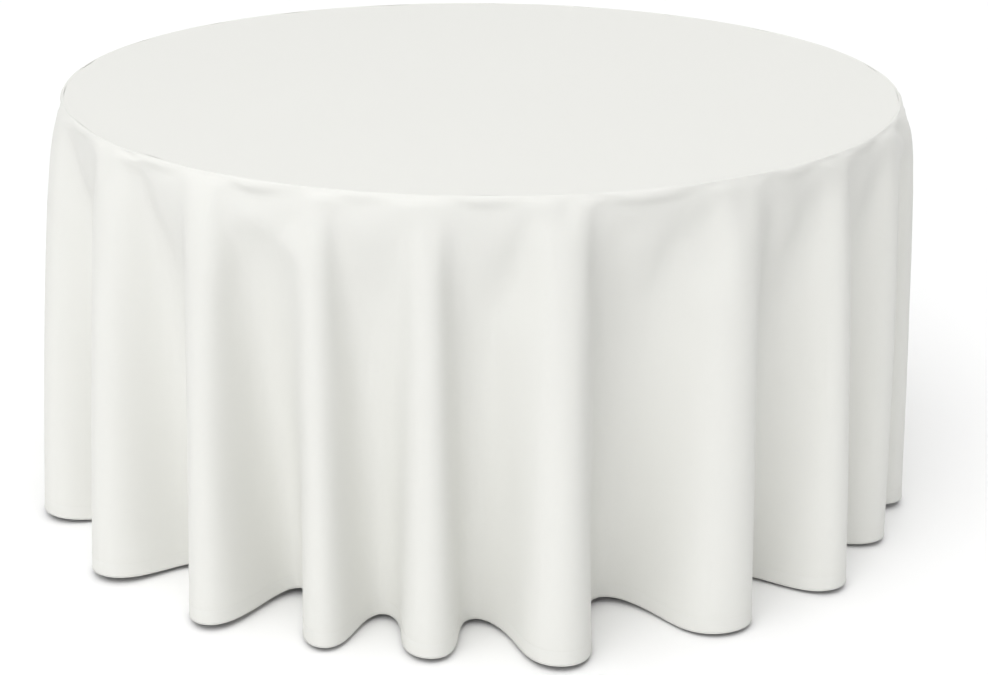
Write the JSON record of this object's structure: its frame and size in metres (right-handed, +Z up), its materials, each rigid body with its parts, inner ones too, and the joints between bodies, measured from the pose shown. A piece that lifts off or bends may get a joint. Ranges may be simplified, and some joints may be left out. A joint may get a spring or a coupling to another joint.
{
  "type": "round table with floor-length tablecloth",
  "caption": "Round folding banquet table under a plain off-white floor-length round cloth that hangs in deep folds to a hem just above the floor.",
  "frame": {"origin": "on the floor, under the middle of the table top", "axes": "+Z up, +X from the left leg frame's hinge to the right one's, -Y the front"},
  "size_m": [1.704, 1.6655, 0.7623],
  "materials": {
    "plywood": "clear-sealed plywood",
    "pine": "planed softwood",
    "edge_moulding": "extruded vinyl moulding",
    "frame_paint": "dark grey powder coat",
    "zinc_steel": "zinc-plated steel",
    "foot_plastic": "moulded plastic",
    "cloth": "plain-woven off-white polyester"
  },
  "bodies": {
    "table": {"panel": "plywood", "edge_band": "edge_moulding", "batten_front": "pine", "batten_screw_front_1": "zinc_steel", "batten_screw_front_2": "zinc_steel", "batten_screw_front_3": "zinc_steel", "batten_back": "pine", "batten_screw_back_1": "zinc_steel", "batten_screw_back_2": "zinc_steel", "batten_screw_back_3": "zinc_steel", "hinge_clamp_left_front": "zinc_steel", "clamp_screw_left_front_outer": "zinc_steel", "clamp_screw_left_front_inner": "zinc_steel", "hinge_clamp_left_back": "zinc_steel", "clamp_screw_left_back_outer": "zinc_steel", "clamp_screw_left_back_inner": "zinc_steel", "brace_bracket_left": "zinc_steel", "bracket_pin_left": "zinc_steel", "bracket_screw_left_outer": "zinc_steel", "bracket_screw_left_inner": "zinc_steel", "hinge_clamp_right_front": "zinc_steel", "clamp_screw_right_front_outer": "zinc_steel", "clamp_screw_right_front_inner": "zinc_steel", "hinge_clamp_right_back": "zinc_steel", "clamp_screw_right_back_outer": "zinc_steel", "clamp_screw_right_back_inner": "zinc_steel", "brace_bracket_right": "zinc_steel", "bracket_pin_right": "zinc_steel", "bracket_screw_right_outer": "zinc_steel", "bracket_screw_right_inner": "zinc_steel", "tablecloth": "cloth", "hem": "cloth"},
    "leg_frame_left": {"hinge_bar_left": "frame_paint", "spreader_left": "frame_paint", "leg_left_front": "frame_paint", "leg_left_back": "frame_paint", "brace_lug_left_front": "frame_paint", "brace_lug_left_back": "frame_paint", "foot_left_front": "foot_plastic", "foot_left_back": "foot_plastic", "lug_pin_left": "zinc_steel"},
    "upper_brace_left": {"brace_upper_left": "zinc_steel", "knuckle_rivet_front_left": "zinc_steel"},
    "lower_brace_left": {"brace_lower_left": "zinc_steel", "knuckle_rivet_back_left": "zinc_steel"},
    "leg_frame_right": {"hinge_bar_right": "frame_paint", "spreader_right": "frame_paint", "leg_right_front": "frame_paint", "leg_right_back": "frame_paint", "brace_lug_right_front": "frame_paint", "brace_lug_right_back": "frame_paint", "foot_right_front": "foot_plastic", "foot_right_back": "foot_plastic", "lug_pin_right": "zinc_steel"},
    "upper_brace_right": {"brace_upper_right": "zinc_steel", "knuckle_rivet_front_right": "zinc_steel"},
    "lower_brace_right": {"brace_lower_right": "zinc_steel", "knuckle_rivet_back_right": "zinc_steel"}
  },
  "joints": [
    {"name": "leg_fold_left", "type": "hinge", "parent": "table", "child": "leg_frame_left", "pos_m": [-0.5, 0, 0.7078], "axis": [0, -1, 0], "range_deg": [0, 90]},
    {"name": "brace_upper_swing_left", "type": "hinge", "parent": "table", "child": "upper_brace_left", "pos_m": [-0.1, 0, 0.7273], "axis": [0, 1, 0], "range_deg": [0, 37.27]},
    {"name": "brace_lower_swing_left", "type": "hinge", "parent": "leg_frame_left", "child": "lower_brace_left", "pos_m": [-0.4805, 0, 0.4378], "axis": [0, -1, 0], "range_deg": [0, 52.74]},
    {"name": "leg_fold_right", "type": "hinge", "parent": "table", "child": "leg_frame_right", "pos_m": [0.5, 0, 0.7078], "axis": [0, 1, 0], "range_deg": [0, 90]},
    {"name": "brace_upper_swing_right", "type": "hinge", "parent": "table", "child": "upper_brace_right", "pos_m": [0.1, 0, 0.7273], "axis": [0, -1, 0], "range_deg": [0, 37.27]},
    {"name": "brace_lower_swing_right", "type": "hinge", "parent": "leg_frame_right", "child": "lower_brace_right", "pos_m": [0.4805, 0, 0.4378], "axis": [0, 1, 0], "range_deg": [0, 52.74]}
  ],
  "couplings": [
    {"joint": "brace_upper_swing_left", "follows": "leg_fold_left", "ratio": 0.41406},
    {"joint": "brace_lower_swing_left", "follows": "leg_fold_left", "ratio": 0.58594},
    {"joint": "brace_upper_swing_right", "follows": "leg_fold_right", "ratio": 0.41406},
    {"joint": "brace_lower_swing_right", "follows": "leg_fold_right", "ratio": 0.58594}
  ]
}
